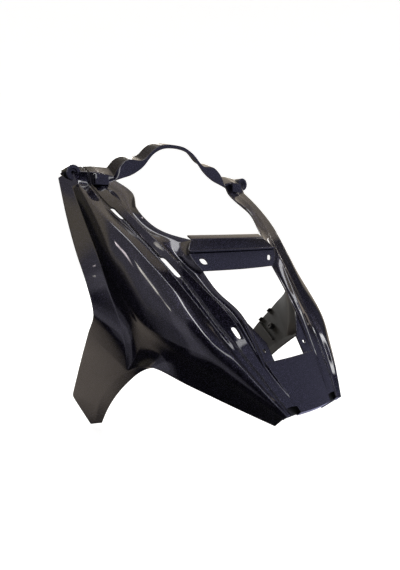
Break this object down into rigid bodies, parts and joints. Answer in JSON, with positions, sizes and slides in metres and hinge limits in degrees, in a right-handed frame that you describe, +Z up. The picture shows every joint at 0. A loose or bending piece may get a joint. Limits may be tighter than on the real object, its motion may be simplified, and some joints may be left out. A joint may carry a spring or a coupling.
{
  "type": "motorcycle front fairing",
  "caption": "Wedge-shaped moulded shell for a scooter's front: narrow nose, swelling side panels, a crossbar between two openings, an arched strip on top and rear wings.",
  "frame": {"origin": "midway between the two top screw bosses, on the mirror plane", "axes": "+Z up as fitted, the nose points to -Y, +X to the right side seen from the front"},
  "size_m": [0.4866, 0.4432, 0.5637],
  "materials": {
    "painted_abs": "moulded ABS with dark violet metallic paint and clear coat",
    "bare_abs": "bare moulded ABS, matte, on the inner side"
  },
  "bodies": {
    "root": {"front_fairing": "painted_abs"}
  },
  "joints": []
}
